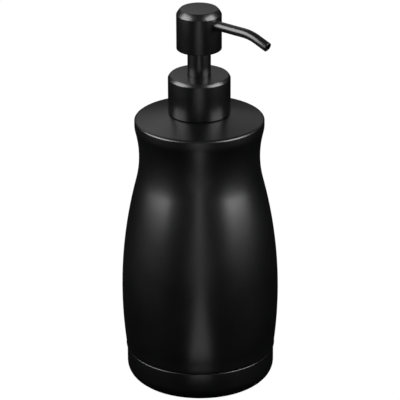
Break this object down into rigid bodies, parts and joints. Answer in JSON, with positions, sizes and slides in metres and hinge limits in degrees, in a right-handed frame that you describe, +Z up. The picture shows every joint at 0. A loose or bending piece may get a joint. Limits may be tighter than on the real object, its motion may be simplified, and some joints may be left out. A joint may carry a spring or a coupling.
{
  "type": "soap pump dispenser",
  "caption": "Countertop liquid-soap dispenser: waisted round metal bottle on a base cup, with a screw-on sprung pump, swivelling cylindrical head and bent spout.",
  "frame": {"origin": "centre of the foot pad's underside, on the bottle's axis", "axes": "+Z up along the bottle's axis; +X the way the spout points at rest"},
  "size_m": [0.0884, 0.0838, 0.2095],
  "materials": {
    "satin_black_paint": "satin",
    "natural_plastic": "moulded, slightly translucent white",
    "clear_plastic": "soft, hazy",
    "black_rubber": "matt",
    "stainless_steel": "bright drawn wire"
  },
  "bodies": {
    "bottle": {"body_shell": "satin_black_paint", "base_cup": "satin_black_paint", "base_seal": "black_rubber", "foot_pad": "black_rubber", "neck_ring": "natural_plastic", "neck_seal": "black_rubber"},
    "gasket": {"closure_gasket": "clear_plastic"},
    "pump_unit": {"pump_cylinder": "natural_plastic", "lock_cup": "natural_plastic", "dip_tube": "clear_plastic", "ball_cage": "natural_plastic", "return_spring": "stainless_steel"},
    "closure": {"collar_shell": "satin_black_paint", "closure_nut": "natural_plastic"},
    "inlet_valve": {"inlet_ball": "stainless_steel"},
    "stem": {"stem_tube": "natural_plastic", "piston_rod": "natural_plastic"},
    "piston": {"piston_seal": "clear_plastic"},
    "head": {"head_core": "natural_plastic", "head_shell": "satin_black_paint", "spout_tube": "satin_black_paint", "stem_sleeve": "satin_black_paint"}
  },
  "joints": [
    {"name": "pump_lift_out", "type": "slide", "parent": "bottle", "child": "gasket", "axis": [0, 0, 1], "range_m": [0, 0.165]},
    {"name": "collar_rise", "type": "slide", "parent": "gasket", "child": "pump_unit", "axis": [0, 0, 1], "range_m": [0, 0.0053]},
    {"name": "collar_turn", "type": "hinge", "parent": "pump_unit", "child": "closure", "pos_m": [0, 0, 0.1525], "axis": [0, 0, 1], "range_deg": [0, 450]},
    {"name": "pump_press", "type": "slide", "parent": "pump_unit", "child": "stem", "axis": [0, 0, -1], "range_m": [0, 0.0125], "stiffness_N_per_m": 500, "springref_m": -0.01, "deforming": ["return_spring"]},
    {"name": "piston_slip", "type": "slide", "parent": "stem", "child": "piston", "axis": [0, 0, 1], "range_m": [0, 0.0012]},
    {"name": "inlet_ball_lift", "type": "slide", "parent": "pump_unit", "child": "inlet_valve", "axis": [0, 0, 1], "range_m": [0, 0.0015]},
    {"name": "head_swivel", "type": "hinge", "parent": "stem", "child": "head", "pos_m": [0, 0, 0.1876], "axis": [0, 0, 1], "continuous": true}
  ],
  "couplings": [
    {"joint": "collar_rise", "follows": "collar_turn", "m_per_rad": 0.00067323}
  ]
}
